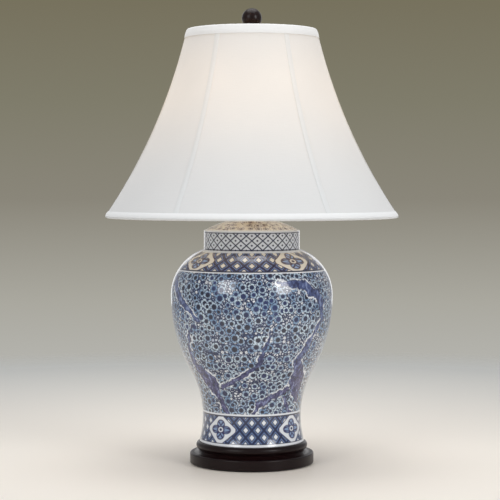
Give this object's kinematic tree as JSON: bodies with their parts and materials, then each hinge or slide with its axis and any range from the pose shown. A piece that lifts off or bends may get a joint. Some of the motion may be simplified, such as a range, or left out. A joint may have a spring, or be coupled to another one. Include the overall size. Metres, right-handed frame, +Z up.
{
  "type": "ginger jar table lamp",
  "caption": "Table lamp with a blue and white lidded porcelain jar on a dark turned base, a panelled bell shade of off-white cloth and a ball finial.",
  "frame": {"origin": "centre of the underside of the felt, on the surface that the lamp stands on", "axes": "+Z up along the rod, -Y to the front, +Y to the back where the cord leaves, +X to the right as seen from the front"},
  "size_m": [0.4622, 0.4622, 0.7112],
  "materials": {
    "felt": "matte felt",
    "dark_wood": "satin",
    "porcelain": "glossy, blue painting under the glaze",
    "steel": "zinc plated",
    "brass": "satin",
    "rubber": "matte",
    "card": "matte",
    "phenolic": "matte",
    "black_plastic": "gloss",
    "bulb_glass": "frosted",
    "bulb_insulator": "black, opaque",
    "aluminium": "thin rolled shell",
    "shade_wire": "white enamel",
    "shade_cloth": "plain weave, off-white",
    "lining_cloth": "smooth, off-white",
    "trim_cloth": "plain weave, off-white"
  },
  "bodies": {
    "lamp": {"felt_pad": "felt", "wood_base": "dark_wood", "cord_bushing": "black_plastic", "base_washer": "steel", "base_lock_washer": "steel", "base_nut": "steel", "threaded_rod": "steel", "jar": "porcelain", "lid": "porcelain", "lid_rubber_washer": "rubber", "vase_cap": "brass", "neck_tube": "brass", "check_ring": "brass", "harp_saddle": "brass", "socket_cap": "brass", "socket_set_screw": "steel", "socket_shell": "brass", "socket_insulator": "card", "socket_body": "phenolic", "socket_screw_shell": "brass", "socket_contact": "brass", "terminal_screws": "brass", "harp": "brass"},
    "switch": {"switch_stem": "brass", "switch_knob": "black_plastic"},
    "bulb_carrier": {"bulb_contact": "steel", "bulb_insulator": "bulb_insulator"},
    "bulb": {"bulb_cap": "aluminium", "bulb_glass": "bulb_glass"},
    "ferrule_left": {"harp_ferrule_left": "brass"},
    "ferrule_right": {"harp_ferrule_right": "brass"},
    "stud": {"harp_stud": "brass"},
    "shade": {"shade_spider": "shade_wire", "shade_top_ring": "shade_wire", "shade_bottom_ring": "shade_wire", "shade_rib_1": "shade_wire", "shade_rib_2": "shade_wire", "shade_rib_3": "shade_wire", "shade_rib_4": "shade_wire", "shade_rib_5": "shade_wire", "shade_rib_6": "shade_wire", "shade_panel_1": "shade_cloth", "shade_panel_2": "shade_cloth", "shade_panel_3": "shade_cloth", "shade_panel_4": "shade_cloth", "shade_panel_5": "shade_cloth", "shade_panel_6": "shade_cloth", "shade_lining": "lining_cloth", "shade_top_binding": "trim_cloth", "shade_bottom_binding": "trim_cloth", "shade_seam_braid_1": "trim_cloth", "shade_seam_braid_2": "trim_cloth", "shade_seam_braid_3": "trim_cloth", "shade_seam_braid_4": "trim_cloth", "shade_seam_braid_5": "trim_cloth", "shade_seam_braid_6": "trim_cloth"},
    "finial_carrier": {"finial_insert": "brass"},
    "finial": {"finial_base": "dark_wood", "finial_ball": "dark_wood"}
  },
  "joints": [
    {"name": "switch_turn", "type": "hinge", "parent": "lamp", "child": "switch", "pos_m": [0, -0.024, 0.44485], "axis": [0, -1, 0], "continuous": true},
    {"name": "bulb_rise", "type": "slide", "parent": "lamp", "child": "bulb_carrier", "axis": [0, 0, 1], "range_m": [0, 0.01271]},
    {"name": "bulb_turn", "type": "hinge", "parent": "bulb_carrier", "child": "bulb", "pos_m": [0, 0, 0.46], "axis": [0, 0, 1], "range_deg": [0, 1260]},
    {"name": "ferrule_left_lift", "type": "slide", "parent": "lamp", "child": "ferrule_left", "axis": [0, 0, 1], "range_m": [0, 0.02]},
    {"name": "ferrule_right_lift", "type": "slide", "parent": "lamp", "child": "ferrule_right", "axis": [0, 0, 1], "range_m": [0, 0.02]},
    {"name": "shade_swivel", "type": "hinge", "parent": "lamp", "child": "stud", "pos_m": [0, 0, 0.664], "axis": [0, 0, 1], "continuous": true},
    {"name": "shade_lift", "type": "slide", "parent": "stud", "child": "shade", "axis": [0, 0, 1], "range_m": [0, 0.3]},
    {"name": "finial_rise", "type": "slide", "parent": "shade", "child": "finial_carrier", "axis": [0, 0, 1], "range_m": [0, 0.00753]},
    {"name": "finial_turn", "type": "hinge", "parent": "finial_carrier", "child": "finial", "pos_m": [0, 0, 0.668], "axis": [0, 0, 1], "range_deg": [0, 2880]}
  ],
  "couplings": [
    {"joint": "bulb_rise", "follows": "bulb_turn", "m_per_rad": 0.00057757},
    {"joint": "finial_rise", "follows": "finial_turn", "m_per_rad": 0.00014972}
  ]
}
